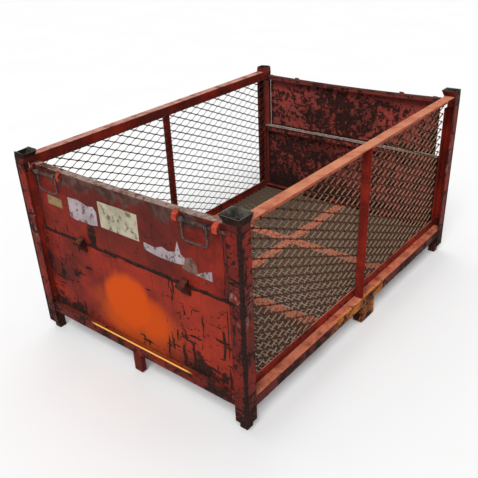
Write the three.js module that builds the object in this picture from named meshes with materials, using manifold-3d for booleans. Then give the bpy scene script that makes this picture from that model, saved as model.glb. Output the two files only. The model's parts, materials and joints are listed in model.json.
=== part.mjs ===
// Stacking wire mesh container: a welded angle iron frame with expanded metal sides and floor,
// and at each end a fixed lower panel with a drop gate hinged on top of it.
//
// Millimetres, +Z up. The origin is on the ground, midway between the four feet.
// X runs across the container, Y runs along it, and the front gate faces -Y.

import * as THREE from 'three';
import { mergeVertices } from 'three/addons/utils/BufferGeometryUtils.js';
import { ConvexGeometry } from 'three/addons/geometries/ConvexGeometry.js';
import Module from 'manifold-3d';

const wasm = await Module();
wasm.setup();

// ---------------------------------------------------------------- driving dimensions

const LENGTH = 1500; // over the corner posts
const WIDTH = 1030; // over the corner posts
const HEIGHT = 762; // ground to the rim of the stacking cups
const GAP = 0.3; // clearance left at every weld and rest
const SHEET = 3; // thickness of the panels, the gates and the expanded metal

const POST = { leg: 50, thick: 5, bottom: 33 };
const ANGLE = { leg: 40, thick: 4 }; // rails, uprights and mid posts
const CUP = { width: 70, floor: 52, depth: 40, neck: 16, wall: 4 };
const FOOT = { inset: 13, width: 30, wall: 4 };

const BASE = { bottom: 80, height: 36, wall: 3, endTop: 130 };
const CROSS = { y: 245, width: 50 };
const BEAM = { width: 50, height: 24 };
const TOP_RAIL_Z = 740;
const UPRIGHT_TOP = 685; // leaves the latch bolts a way in above it
const MID_POST_Y = -8; // front face of the mid post's outstanding leg
const SIDE_FOOT = { bottom: 5, front: -2, back: 95, wall: 4 };
const END_FOOT = { bottom: 6, width: 38, depth: 22, wall: 4 };

// Openings are three times the pitch of 1 1/2 inch expanded metal, to keep the solids light.
const MESH = { border: 14, strand: 16 };
const SIDE_MESH = { low: 150, high: 712, halfLength: 722, columns: 6, rows: 5 };
const FLOOR_MESH = { halfLength: 704, columns: 4, rows: 14 };

const PANEL = { inset: 24, top: 466, flange: 30, lip: 25 };
const GATE = { halfWidth: 445, bottom: 466.6, top: 724, flange: 30, lip: 15 };
const HINGE = { inset: 2, z: 470, pin: 5, barrel: 9, width: 26, ear: 5, foot: 36 };
const HINGE_X = { left: -225, right: 272 };
const STRAP = { thick: 4.5, height: 20 };
const LATCH = { inset: 15, z: 701, rod: 5, start: 248, end: 463.5, bore: 5.4 };
const GUIDE = { width: 20, inner: 252, outer: 407, front: 8, rise: 24, brow: 10, drop: 8 };
const HANDLE = { inner: 285, outer: 383, wire: 3, drop: 66, bend: 14, eye: 8.6 };
const COLLAR = { radius: 8, width: 4, play: 0.4 };
const LATCH_SHIFT = { left: 28, right: 0 }; // how much nearer its post a latch sits

// ---------------------------------------------------------------- derived places

const HALF_W = WIDTH / 2;
const HALF_L = LENGTH / 2;
const FRAME_OUT = POST.thick + GAP; // the frame nests just inside the corner posts
const FRAME_IN = FRAME_OUT + ANGLE.leg;
const INNER_X = HALF_W - FRAME_IN; // inner faces of the two side frames
const BASE_TOP = BASE.bottom + BASE.height;
const LEDGE = BASE_TOP + GAP;
const LEDGE_TOP = LEDGE + ANGLE.thick;
const CUP_Z = HEIGHT - CUP.depth;

// ---------------------------------------------------------------- solids

/** Position-only indexed geometry, which both the mirror and the booleans need. */
function bare(geometry) {
  const copy = geometry.clone();
  copy.deleteAttribute('normal');
  copy.deleteAttribute('uv');
  return mergeVertices(copy, 1e-4);
}

function toSolid(geometry) {
  const plain = bare(geometry);
  const vertProperties = Float32Array.from(plain.attributes.position.array);
  const triVerts = Uint32Array.from(plain.index.array);
  return new wasm.Manifold(new wasm.Mesh({ numProp: 3, vertProperties, triVerts }));
}

function toGeometry(solid) {
  const { vertProperties, triVerts } = solid.getMesh();
  const geometry = new THREE.BufferGeometry();
  geometry.setAttribute('position', new THREE.BufferAttribute(vertProperties, 3));
  geometry.setIndex(new THREE.BufferAttribute(triVerts, 1));
  return geometry;
}

function join(first, ...others) {
  return toGeometry(others.reduce((solid, next) => solid.add(toSolid(next)), toSolid(first)));
}

function cut(first, ...others) {
  return toGeometry(others.reduce((solid, next) => solid.subtract(toSolid(next)), toSolid(first)));
}

/** The same geometry reflected across X and/or Y, with its faces still pointing out. */
function mirrored(geometry, sx, sy) {
  const copy = bare(geometry);
  copy.scale(sx, sy, 1);
  if (sx * sy < 0) {
    const index = copy.index.array;
    for (let i = 0; i < index.length; i += 3) {
      [index[i], index[i + 1]] = [index[i + 1], index[i]];
    }
  }
  return copy;
}

function box(x, y, z) {
  const geometry = new THREE.BoxGeometry(x[1] - x[0], y[1] - y[0], z[1] - z[0]);
  return geometry.translate((x[0] + x[1]) / 2, (y[0] + y[1]) / 2, (z[0] + z[1]) / 2);
}

function shapeOf(points) {
  return new THREE.Shape(points.map(([a, b]) => new THREE.Vector2(a, b)));
}

// Which way a flat shape's two axes and its thickness point, for each extrusion direction.
const DIRECTIONS = {
  x: [new THREE.Vector3(0, 1, 0), new THREE.Vector3(0, 0, 1), new THREE.Vector3(1, 0, 0)],
  y: [new THREE.Vector3(1, 0, 0), new THREE.Vector3(0, 0, 1), new THREE.Vector3(0, -1, 0)],
  z: [new THREE.Vector3(1, 0, 0), new THREE.Vector3(0, 1, 0), new THREE.Vector3(0, 0, 1)],
};

/** One or more shapes drawn across an axis, extruded along it between two places. */
function prism(shape, axis, [from, to], curveSegments = 12) {
  const options = { depth: to - from, bevelEnabled: false, curveSegments };
  const geometry = new THREE.ExtrudeGeometry(shape, options);
  geometry.applyMatrix4(new THREE.Matrix4().makeBasis(...DIRECTIONS[axis]));
  const start = { x: [from, 0, 0], y: [0, to, 0], z: [0, 0, from] };
  return geometry.translate(...start[axis]);
}

/** Outline of an angle section: two legs that meet at the heel, reaching along da and db. */
function angleShape([a, b], [da, db], [legA, legB], thick) {
  return shapeOf([
    [a, b],
    [a + da * legA, b],
    [a + da * legA, b + db * thick],
    [a + da * thick, b + db * thick],
    [a + da * thick, b + db * legB],
    [a, b + db * legB],
  ]);
}

function rectangleShape([a0, a1], [b0, b1]) {
  return shapeOf([[a0, b0], [a1, b0], [a1, b1], [a0, b1]]);
}

/** Outline of a rectangular tube. */
function tubeShape([a0, a1], [b0, b1], wall) {
  const shape = rectangleShape([a0, a1], [b0, b1]);
  shape.holes.push(rectangleShape([a0 + wall, a1 - wall], [b0 + wall, b1 - wall]));
  return shape;
}

/** A square column whose near and far sides, measured in from the corner, change with height. */
function column(levels) {
  const points = levels.flatMap(([z, near, far]) => [
    new THREE.Vector3(-near, near, z),
    new THREE.Vector3(-far, near, z),
    new THREE.Vector3(-far, far, z),
    new THREE.Vector3(-near, far, z),
  ]);
  return new ConvexGeometry(points);
}

/** Expanded metal: a sheet with staggered diamond openings inside a plain border. */
function expandedSheet(axis, [a0, a1], [b0, b1], [from, to], { columns, rows }) {
  const { border, strand } = MESH;
  const halfPitchA = ((a1 - a0) / 2 - border) / columns;
  const halfPitchB = ((b1 - b0) / 2 - border) / rows;
  const halfA = halfPitchA - strand;
  const halfB = halfPitchB - strand / 2;
  const cells = [];
  for (let i = 0; i <= columns * 2; i++) {
    for (let j = i % 2; j <= rows * 2; j += 2) {
      const a = a0 + border + i * halfPitchA;
      const b = b0 + border + j * halfPitchB;
      cells.push(shapeOf([[a - halfA, b], [a, b - halfB], [a + halfA, b], [a, b + halfB]]));
    }
  }
  const through = [from - 1, to + 1];
  const window = rectangleShape([a0 + border, a1 - border], [b0 + border, b1 - border]);
  const openings = toSolid(prism(window, axis, through)).intersect(toSolid(prism(cells, axis, through)));
  const sheet = prism(rectangleShape([a0, a1], [b0, b1]), axis, [from, to]);
  return toGeometry(toSolid(sheet).subtract(openings));
}

// ---------------------------------------------------------------- finishes

const FINISHES = {
  redPaint: { color: 0x8f3427, roughness: 0.62, metalness: 0.15 },
  dustyPaint: { color: 0xc4694a, roughness: 0.75, metalness: 0.1 },
  meshPaint: { color: 0x7d5a4c, roughness: 0.7, metalness: 0.2 },
  latchPaint: { color: 0xc8482d, roughness: 0.55, metalness: 0.15 },
  bareSteel: { color: 0x8d857e, roughness: 0.42, metalness: 0.85 },
  grimySteel: { color: 0x2a2220, roughness: 0.8, metalness: 0.3 },
};

function place(parent, name, geometry, finish) {
  const mesh = new THREE.Mesh(geometry, new THREE.MeshStandardMaterial(FINISHES[finish]));
  mesh.name = name;
  parent.add(mesh);
  return mesh;
}

function groupAt(parent, x, y, z) {
  const group = new THREE.Group();
  group.position.set(x, y, z);
  parent.add(group);
  return group;
}

// ---------------------------------------------------------------- corner pieces
// Drawn for the front right corner: -X and +Y lead inwards from the outer edge of the post.

function cornerPost() {
  const shape = angleShape([0, 0], [-1, 1], [POST.leg, POST.leg], POST.thick);
  return prism(shape, 'z', [POST.bottom, CUP_Z - GAP]);
}

/** One skin of the cup, inset by some wall. It can run past both ends of the cup to cut it. */
function cupSkin(inset, overrun = 0) {
  const neckTop = CUP_Z + CUP.neck;
  const slope = (CUP.width - CUP.floor) / (HEIGHT - neckTop);
  const narrow = CUP.floor - inset;
  const neck = column([[CUP_Z - overrun, inset, narrow], [neckTop, inset, narrow]]);
  const wide = CUP.width + slope * overrun - inset;
  const flare = column([[neckTop, inset, narrow], [HEIGHT + overrun, inset, wide]]);
  return join(neck, flare);
}

/** Funnel on top of a post that catches the foot of the container stacked above. */
function stackingCup() {
  return cut(cupSkin(0), cupSkin(CUP.wall, 1));
}

/** Square tube that stands inside the bottom of the post, welded under the base rail. */
function foot() {
  const reach = [FOOT.inset, FOOT.inset + FOOT.width];
  const shape = tubeShape([-reach[1], -reach[0]], reach, FOOT.wall);
  return prism(shape, 'z', [0, BASE.bottom - GAP]);
}

// ---------------------------------------------------------------- side frame
// Drawn for the right side: -X leads inwards from the outer faces of the posts. The left side
// is the same frame turned half round.

const SIDE_REACH = HALF_L - FRAME_OUT;

function baseRail() {
  const shape = tubeShape([-FRAME_IN, -FRAME_OUT], [BASE.bottom, BASE_TOP], BASE.wall);
  return prism(shape, 'y', [-SIDE_REACH, SIDE_REACH]);
}

/** Lies on the base rail with one leg as the outer ledge and the other up behind the mesh. */
function bottomAngle() {
  const shape = angleShape([-FRAME_IN, LEDGE], [1, 1], [ANGLE.leg, ANGLE.leg], ANGLE.thick);
  return prism(shape, 'y', [-SIDE_REACH, SIDE_REACH]);
}

/** Top rail, cut back where it meets the flared cups at both ends. */
function topRail() {
  const shape = angleShape([-FRAME_IN, TOP_RAIL_Z], [1, -1], [ANGLE.leg, ANGLE.leg], ANGLE.thick);
  const reach = SIDE_MESH.halfLength;
  const cup = cupSkin(-GAP, 1);
  const frontCup = cup.clone().translate(0, -HALF_L, 0);
  return cut(prism(shape, 'y', [-reach, reach]), frontCup, mirrored(frontCup, 1, -1));
}

/** Upright that closes the gap between the mesh and the front post. */
function upright() {
  const heel = [-FRAME_IN, FRAME_OUT - HALF_L];
  const shape = angleShape(heel, [1, 1], [ANGLE.leg, ANGLE.leg], ANGLE.thick);
  return prism(shape, 'z', [LEDGE + ANGLE.leg + GAP, UPRIGHT_TOP]);
}

/** Mid post: its outstanding leg stands on the ledge, the other leg backs the mesh. */
function midPost() {
  const heel = [-FRAME_IN + ANGLE.thick + GAP, MID_POST_Y];
  const out = -FRAME_OUT - heel[0];
  const shape = angleShape(heel, [1, 1], [out, ANGLE.leg], ANGLE.thick);
  return prism(shape, 'z', [LEDGE_TOP + GAP, TOP_RAIL_Z - ANGLE.thick - GAP]);
}

/** Expanded metal welded to the inside of the rails. */
function sideMesh() {
  const length = [-SIDE_MESH.halfLength, SIDE_MESH.halfLength];
  const face = -FRAME_IN - GAP;
  const height = [SIDE_MESH.low, SIDE_MESH.high];
  return expandedSheet('x', length, height, [face - SHEET, face], SIDE_MESH);
}

/** Tube foot under the middle of the side, between the two fork openings. */
function sideMidFoot() {
  const length = [SIDE_FOOT.front, SIDE_FOOT.back];
  const shape = tubeShape([-FRAME_IN, -FRAME_OUT], length, SIDE_FOOT.wall);
  return prism(shape, 'z', [SIDE_FOOT.bottom, BASE.bottom - GAP]);
}

// ---------------------------------------------------------------- floor frame

const FLOOR_REACH = INNER_X - GAP;
const END_FOOT_FRONT = FRAME_OUT + ANGLE.thick + GAP; // just behind the end rail

function crossMember() {
  const reach = CROSS.width / 2;
  const shape = tubeShape([-reach, reach], [BASE.bottom, BASE_TOP], BASE.wall);
  const slot = BEAM.width / 2 + GAP;
  const slotFloor = BASE_TOP - BEAM.height - GAP;
  const notch = box([-slot, slot], [-CROSS.width, CROSS.width], [slotFloor, BASE_TOP + 1]);
  return cut(prism(shape, 'x', [-FLOOR_REACH, FLOOR_REACH]), notch);
}

/** Runs the length of the floor, let into both cross members. */
function centreBeam() {
  const reach = BEAM.width / 2;
  const shape = tubeShape([-reach, reach], [BASE_TOP - BEAM.height, BASE_TOP], BASE.wall);
  const end = HALF_L - END_FOOT_FRONT - END_FOOT.depth - GAP;
  return prism(shape, 'y', [-end, end]);
}

function floorMesh() {
  const width = [-FLOOR_REACH, FLOOR_REACH];
  const length = [-FLOOR_MESH.halfLength, FLOOR_MESH.halfLength];
  return expandedSheet('z', width, length, [LEDGE, LEDGE + SHEET], FLOOR_MESH);
}

// ---------------------------------------------------------------- end wall
// Drawn for the front end: +Y leads inwards from the outer faces of the posts.

/** Base rail across the end: one leg down, the other back under the panel. */
function endRail() {
  const shape = angleShape([FRAME_OUT, BASE.endTop], [1, -1], [ANGLE.leg, ANGLE.leg], ANGLE.thick);
  return prism(shape, 'x', [-FLOOR_REACH, FLOOR_REACH]);
}

/** Channel foot in the middle of the end, welded up inside the end rail. */
function endMidFoot() {
  const front = END_FOOT_FRONT;
  const back = front + END_FOOT.depth;
  const half = END_FOOT.width / 2;
  const wall = END_FOOT.wall;
  const shape = shapeOf([
    [-half, front],
    [half, front],
    [half, back],
    [half - wall, back],
    [half - wall, front + wall],
    [-half + wall, front + wall],
    [-half + wall, back],
    [-half, back],
  ]);
  return prism(shape, 'z', [END_FOOT.bottom, BASE.endTop - ANGLE.thick - GAP]);
}

/** A sheet that is folded inwards along its top edge and then down again. */
function foldedSheetShape(front, [bottom, top], { flange, lip }) {
  return shapeOf([
    [front, bottom],
    [front + SHEET, bottom],
    [front + SHEET, top - SHEET],
    [front + flange - SHEET, top - SHEET],
    [front + flange - SHEET, top - lip],
    [front + flange, top - lip],
    [front + flange, top],
    [front, top],
  ]);
}

/** Fixed lower panel. Its fold is cut short at both ends to clear the side mesh. */
function lowerPanel() {
  const shape = foldedSheetShape(PANEL.inset, [BASE.endTop + GAP, PANEL.top], PANEL);
  const fold = [PANEL.inset + SHEET + GAP, PANEL.inset + PANEL.flange + 1];
  const height = [PANEL.top - PANEL.lip - 1, PANEL.top + 1];
  const meshFace = FLOOR_REACH - SHEET - GAP;
  const right = box([meshFace - GAP, FLOOR_REACH + 1], fold, height);
  return cut(prism(shape, 'x', [-FLOOR_REACH, FLOOR_REACH]), right, mirrored(right, -1, 1));
}

/** Hinge bracket on the lower panel: two ears with the pin welded between them. */
function hingeBracket() {
  const inner = HINGE.width / 2 + 2 * GAP;
  const outer = inner + HINGE.ear;
  const back = PANEL.inset - GAP;
  const low = HINGE.z - HINGE.foot;
  const ear = new THREE.Shape();
  ear.moveTo(back, low);
  ear.lineTo(back, PANEL.top);
  ear.lineTo(HINGE.inset, HINGE.z + HINGE.barrel);
  ear.absarc(HINGE.inset, HINGE.z, HINGE.barrel, Math.PI / 2, Math.PI * 1.25, false);
  const plate = box([-outer, outer], [back - HINGE.ear, back], [low, HINGE.z - HINGE.barrel]);
  const pin = new THREE.CylinderGeometry(HINGE.pin, HINGE.pin, inner * 2 + HINGE.ear, 16);
  pin.rotateZ(Math.PI / 2).translate(0, HINGE.inset, HINGE.z);
  return join(plate, prism(ear, 'x', [-outer, -inner]), prism(ear, 'x', [inner, outer]), pin);
}

// ---------------------------------------------------------------- drop gate
// Drawn for the front gate, measured from its hinge axis.

const GATE_FACE = PANEL.inset - HINGE.inset;
const LATCH_Y = LATCH.inset - HINGE.inset;
const LATCH_Z = LATCH.z - HINGE.z;

/** Barrel that turns on the hinge pin, with the strap that carries the gate. */
function gateHingeStrap(x) {
  const front = GATE_FACE - STRAP.thick;
  const weld = GATE_FACE + SHEET / 2;
  const shape = new THREE.Shape();
  shape.moveTo(weld, GATE.bottom - HINGE.z);
  shape.lineTo(weld, STRAP.height);
  shape.lineTo(front, STRAP.height);
  shape.lineTo(front, front);
  shape.absarc(0, 0, HINGE.barrel, Math.PI / 2, Math.PI * 1.85, false);
  const bore = new THREE.Path().absarc(0, 0, HINGE.pin + GAP, 0, Math.PI * 2, false);
  shape.holes.push(bore);
  return prism(shape, 'x', [x - HINGE.width / 2, x + HINGE.width / 2], 16);
}

/** Gate sheet, folded along its top edge, with its two hinge straps welded on. */
function gateSheet() {
  const height = [GATE.bottom - HINGE.z, GATE.top - HINGE.z];
  const shape = foldedSheetShape(GATE_FACE, height, GATE);
  const sheet = prism(shape, 'x', [-GATE.halfWidth, GATE.halfWidth]);
  return join(sheet, gateHingeStrap(HINGE_X.left), gateHingeStrap(HINGE_X.right));
}

/** Guide for a latch bolt: a hooded block on the gate, cut off where the gate ends. */
function latchGuide(x) {
  const back = GATE_FACE - GAP;
  const front = LATCH_Y - GUIDE.front;
  const shape = shapeOf([
    [back, LATCH_Z - GUIDE.drop],
    [back, LATCH_Z + GUIDE.rise],
    [front, LATCH_Z + GUIDE.brow],
    [front, LATCH_Z - GUIDE.drop],
  ]);
  const bore = new THREE.Path().absarc(LATCH_Y, LATCH_Z, LATCH.bore, 0, Math.PI * 2, false);
  shape.holes.push(bore);
  return prism(shape, 'x', [x, Math.min(x + GUIDE.width, GATE.halfWidth)], 10);
}

/** Round bolt, drawn back. The two collars carry the handle along with it. */
function latchBolt(shift) {
  const { radius, width, play } = COLLAR;
  const start = LATCH.start + shift;
  const first = HANDLE.inner + shift + HANDLE.wire + play;
  const second = HANDLE.outer + shift - HANDLE.wire - play;
  const bevel = 2;
  const profile = [
    [0, start],
    [LATCH.rod - bevel, start],
    [LATCH.rod, start + bevel],
    [LATCH.rod, first],
    [radius, first],
    [radius, first + width],
    [LATCH.rod, first + width],
    [LATCH.rod, second - width],
    [radius, second - width],
    [radius, second],
    [LATCH.rod, second],
    [LATCH.rod, LATCH.end - bevel],
    [LATCH.rod - bevel, LATCH.end],
    [0, LATCH.end],
  ];
  const lathe = new THREE.LatheGeometry(profile.map(([r, x]) => new THREE.Vector2(r, x)), 16);
  return lathe.rotateZ(-Math.PI / 2).translate(0, LATCH_Y, LATCH_Z);
}

/** Bent wire handle that hangs from the bolt on two eyes. */
function latchHandle(shift) {
  const { wire, drop, bend, eye } = HANDLE;
  const inner = HANDLE.inner + shift;
  const outer = HANDLE.outer + shift;
  const point = (x, z) => new THREE.Vector3(x, LATCH_Y, LATCH_Z + z);
  const weld = -(LATCH.bore + eye) / 2;
  const path = new THREE.CurvePath();
  path.add(new THREE.LineCurve3(point(inner, weld), point(inner, bend - drop)));
  path.add(new THREE.QuadraticBezierCurve3(
    point(inner, bend - drop), point(inner, -drop), point(inner + bend, -drop)));
  path.add(new THREE.LineCurve3(point(inner + bend, -drop), point(outer - bend, -drop)));
  path.add(new THREE.QuadraticBezierCurve3(
    point(outer - bend, -drop), point(outer, -drop), point(outer, bend - drop)));
  path.add(new THREE.LineCurve3(point(outer, bend - drop), point(outer, weld)));
  const section = new THREE.Shape().absarc(0, 0, wire, 0, Math.PI * 2, false);
  const options = { steps: 28, curveSegments: 5, extrudePath: path, bevelEnabled: false };
  const bail = new THREE.ExtrudeGeometry(section, options);
  const ring = new THREE.Shape().absarc(LATCH_Y, LATCH_Z, eye, 0, Math.PI * 2, false);
  ring.holes.push(new THREE.Path().absarc(LATCH_Y, LATCH_Z, LATCH.bore, 0, Math.PI * 2, false));
  const eyes = [inner, outer].map((x) => prism(ring, 'x', [x - wire, x + wire], 10));
  return join(bail, ...eyes);
}

// ---------------------------------------------------------------- assembly

const SIDES = { left: -1, right: 1 };
const ENDS = { front: 1, back: -1 }; // -1 mirrors a piece drawn for the front end

const container = new THREE.Group();

function addCorners() {
  for (const [end, sy] of Object.entries(ENDS)) {
    for (const [side, sx] of Object.entries(SIDES)) {
      const corner = groupAt(container, sx * HALF_W, -sy * HALF_L, 0);
      place(corner, `${end}_${side}_post`, mirrored(cornerPost(), sx, sy), 'redPaint');
      place(corner, `${end}_${side}_stacking_cup`, mirrored(stackingCup(), sx, sy), 'bareSteel');
      place(corner, `${end}_${side}_foot`, mirrored(foot(), sx, sy), 'grimySteel');
    }
  }
}

function addSides() {
  for (const [side, sx] of Object.entries(SIDES)) {
    const frame = groupAt(container, sx * HALF_W, 0, 0);
    const turned = (geometry) => mirrored(geometry, sx, sx);
    place(frame, `${side}_base_rail`, turned(baseRail()), 'redPaint');
    place(frame, `${side}_bottom_angle`, turned(bottomAngle()), 'dustyPaint');
    place(frame, `${side}_top_rail`, turned(topRail()), 'dustyPaint');
    place(frame, `${side}_front_upright`, mirrored(upright(), sx, 1), 'redPaint');
    place(frame, `${side}_back_upright`, mirrored(upright(), sx, -1), 'redPaint');
    place(frame, `${side}_mid_post`, turned(midPost()), 'redPaint');
    place(frame, `${side}_mesh_panel`, turned(sideMesh()), 'meshPaint');
    place(frame, `${side}_mid_foot`, turned(sideMidFoot()), 'redPaint');
  }
}

function addFloor() {
  place(container, 'centre_beam', centreBeam(), 'dustyPaint');
  place(container, 'floor_mesh', floorMesh(), 'meshPaint');
  for (const [end, sy] of Object.entries(ENDS)) {
    const station = groupAt(container, 0, -sy * CROSS.y, 0);
    place(station, `${end}_cross_member`, crossMember(), 'dustyPaint');
  }
}

function addEndWalls() {
  for (const [end, sy] of Object.entries(ENDS)) {
    const wall = groupAt(container, 0, -sy * HALF_L, 0);
    place(wall, `${end}_base_rail`, mirrored(endRail(), 1, sy), 'redPaint');
    place(wall, `${end}_mid_foot`, mirrored(endMidFoot(), 1, sy), 'redPaint');
    place(wall, `${end}_lower_panel`, mirrored(lowerPanel(), 1, sy), 'redPaint');
    for (const [side, x] of Object.entries(HINGE_X)) {
      const bracket = mirrored(hingeBracket(), 1, sy);
      place(wall, `${end}_${side}_hinge_bracket`, bracket, 'redPaint').position.x = x;
    }
  }
}

function addGates() {
  for (const [end, sy] of Object.entries(ENDS)) {
    const gate = groupAt(container, 0, sy * (HINGE.inset - HALF_L), HINGE.z);
    place(gate, `${end}_gate_sheet`, mirrored(gateSheet(), 1, sy), 'redPaint');
    for (const [side, sx] of Object.entries(SIDES)) {
      const shift = LATCH_SHIFT[side];
      const name = `${end}_${side}_latch`;
      for (const which of ['inner', 'outer']) {
        const guide = mirrored(latchGuide(GUIDE[which] + shift), sx, sy);
        place(gate, `${name}_${which}_guide`, guide, 'latchPaint');
      }
      place(gate, `${name}_bolt`, mirrored(latchBolt(shift), sx, sy), 'bareSteel');
      place(gate, `${name}_handle`, mirrored(latchHandle(shift), sx, sy), 'bareSteel');
    }
  }
}

addCorners();
addSides();
addFloor();
addEndWalls();
addGates();

export default container;
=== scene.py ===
"""Looks of the stacking wire mesh container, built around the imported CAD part."""

import json
import math
import random
from dataclasses import dataclass

import bmesh
import bpy
from mathutils import Matrix, Vector, noise

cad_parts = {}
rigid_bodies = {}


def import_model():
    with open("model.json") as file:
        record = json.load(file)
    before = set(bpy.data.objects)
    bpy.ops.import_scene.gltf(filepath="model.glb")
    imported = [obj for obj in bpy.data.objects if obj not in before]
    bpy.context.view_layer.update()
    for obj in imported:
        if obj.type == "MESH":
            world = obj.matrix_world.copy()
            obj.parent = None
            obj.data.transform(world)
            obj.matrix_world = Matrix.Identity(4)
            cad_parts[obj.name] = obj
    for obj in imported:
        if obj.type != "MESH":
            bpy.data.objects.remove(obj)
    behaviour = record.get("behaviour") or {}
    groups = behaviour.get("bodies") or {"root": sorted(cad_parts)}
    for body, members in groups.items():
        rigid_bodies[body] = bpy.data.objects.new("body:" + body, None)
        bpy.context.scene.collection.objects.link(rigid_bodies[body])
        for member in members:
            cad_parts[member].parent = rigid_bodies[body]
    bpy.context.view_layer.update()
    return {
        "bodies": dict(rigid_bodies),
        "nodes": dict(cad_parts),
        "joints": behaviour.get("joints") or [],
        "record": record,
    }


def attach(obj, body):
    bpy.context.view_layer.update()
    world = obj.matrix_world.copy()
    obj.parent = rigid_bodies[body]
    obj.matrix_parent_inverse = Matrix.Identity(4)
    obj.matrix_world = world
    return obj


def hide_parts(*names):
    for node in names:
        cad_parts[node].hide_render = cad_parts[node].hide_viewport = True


MM = 0.001
ENDS = {"front": -1, "back": 1}
SIDES = {"left": -1, "right": 1}

# The container's own dimensions, in millimetres in the row frame, as in the CAD.
HALF_W = 515.0
HALF_L = 750.0
SHEET = 3.0
LEDGE_TOP = 120.3
END_RAIL_TOP = 130.0
PANEL_INSET = 24.0
HINGE_INSET, HINGE_Z = 2.0, 470.0
HINGE_X = {"left": -225.0, "right": 272.0}
GUIDE_X = (-440.0, -290.0, 262.0, 417.0)
CROSS_Y = 245.0

# How the gate and panel sheets are folded, cut up and knocked.
BEND = 3.6  # outer radius of a fold
FLANGE = 30.0
FACE_DEPTH = 6.0  # what lies deeper than this behind the face keeps straight
SHEET_COLUMNS, SHEET_ROWS = 72, 14
END_FADE = 40.0  # a knock dies out over this much from each end
HELD_REACH, HELD_FADE = 20.0, 45.0  # and over this much from every guide and hinge

# Each sheet sags by its bow in the middle. Above held_above it keeps straight at the places held.
GATE = {"bottom": 466.6, "top": 724.0, "half": 445.0, "lip": 15.0, "bow": 7.0, "seed": 1.0,
        "held": (*GUIDE_X, *HINGE_X.values()), "held_above": 0.0}
PANEL = {"bottom": 130.3, "top": 466.0, "half": 465.5, "lip": 25.0, "bow": 0.0, "seed": 4.0,
         "held": tuple(HINGE_X.values()), "held_above": 400.0}

# Straps from the gate round the hinge pins.
STRAP = {"half": 13.0, "height": 20.0, "thick": 5.0, "barrel": 9.0, "bore": 5.3}

CUP = {"bottom": 722.0, "neck": 740.0, "top": 762.0, "floor": 52.0, "wall": 3.2, "bend": 3.0,
       "round": 0.8}
# Width of each mouth along X and along Y, corner radius, and how far it is knocked in.
CUP_MOUTHS = {
    "front_left": (58.0, 62.0, 7.0, 10.0),
    "front_right": (77.0, 68.0, 4.0, 1.0),
    "back_left": (54.0, 54.0, 13.0, 6.0),
    "back_right": (62.0, 58.0, 4.0, 2.0),
}

# Standard 1 1/2 inch expanded metal.
PITCH_LONG, PITCH_SHORT, BOND = 76.2, 33.9, 11.0
SIDE_STRAND = {"width": 4.4, "thick": 2.0, "tilt": -38.0}
FLOOR_STRAND = {"width": 11.5, "thick": 2.4, "tilt": 40.0}
# Middle plane and reach of each sheet. The floor's strands are pressed flat by a share.
SIDE_MESH = {"plane": 464.6, "along": (-721, 721), "up": (150, 712)}
FLOOR_MESH = {"plane": 119.6, "across": (-469, 469), "along": (-703, 703), "flat": 0.6}

# Length of a weld's ripples, and the number of sides of its bead.
RIPPLE, BEAD_SIDES = 2.2, 7

# The photograph's camera, found from the straight edges of the container: metres for its places,
# degrees for its roll, and millimetres for its lens and sensor.
CAMERA = {"place": (1.455, -1.8956, 1.4866), "target": (0.149, -0.4305, 0.3975), "roll": -3.621,
          "lens": 47.34, "sensor": 36.0, "shift": (0.0439, 0.0335)}
# Place, power and spread in degrees of each light.
LIGHTS = {"key": ((2.0, -3.6, 5.0), 2.4, 34), "fill": ((-2.4, 1.5, 4.0), 0.7, 60)}
SKY_LIGHT, SKY_SEEN = 0.45, 0.92  # strength of the sky as a light, and as the camera sees it
FLOOR_REACH = 30.0  # metres


def srgb(red, green, blue):
    """Linear colour of an 8-bit sRGB one."""
    def channel(value):
        value /= 255
        return value / 12.92 if value <= 0.04045 else ((value + 0.055) / 1.055) ** 2.4
    return (channel(red), channel(green), channel(blue), 1.0)


RED_DARK = srgb(88, 25, 20)
RED = srgb(138, 40, 27)
RED_BRIGHT = srgb(170, 58, 37)
RED_DUSTY = srgb(216, 132, 100)
PLUM = srgb(92, 36, 34)
FILM = srgb(70, 31, 26)
FADED = srgb(160, 82, 76)
GRIME = srgb(24, 19, 18)
GRIME_BROWN = srgb(54, 36, 31)
SMEAR = srgb(84, 66, 60)
ORANGE = srgb(192, 70, 2)
ORANGE_DARK = srgb(168, 68, 18)
# Painted highlight on the lip of the front rail.
LIP_HIGHLIGHT = srgb(255, 176, 84)
OVERSPRAY = srgb(126, 60, 26)
SCUFF = srgb(176, 132, 126)
YELLOW = srgb(206, 122, 40)
STEEL = srgb(150, 146, 142)
STEEL_DARK = srgb(66, 60, 56)
STEEL_WARM = srgb(140, 124, 116)
STEEL_BRIGHT = srgb(206, 200, 194)
RUST = srgb(104, 58, 38)
FRAME_PINK = srgb(196, 108, 82)
PAPER_FIBRE = srgb(120, 108, 96)
DUST_PALE = srgb(206, 146, 114)
DUST_PINK = srgb(204, 152, 136)


# ------------------------------------------------------------------ material graph

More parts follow.
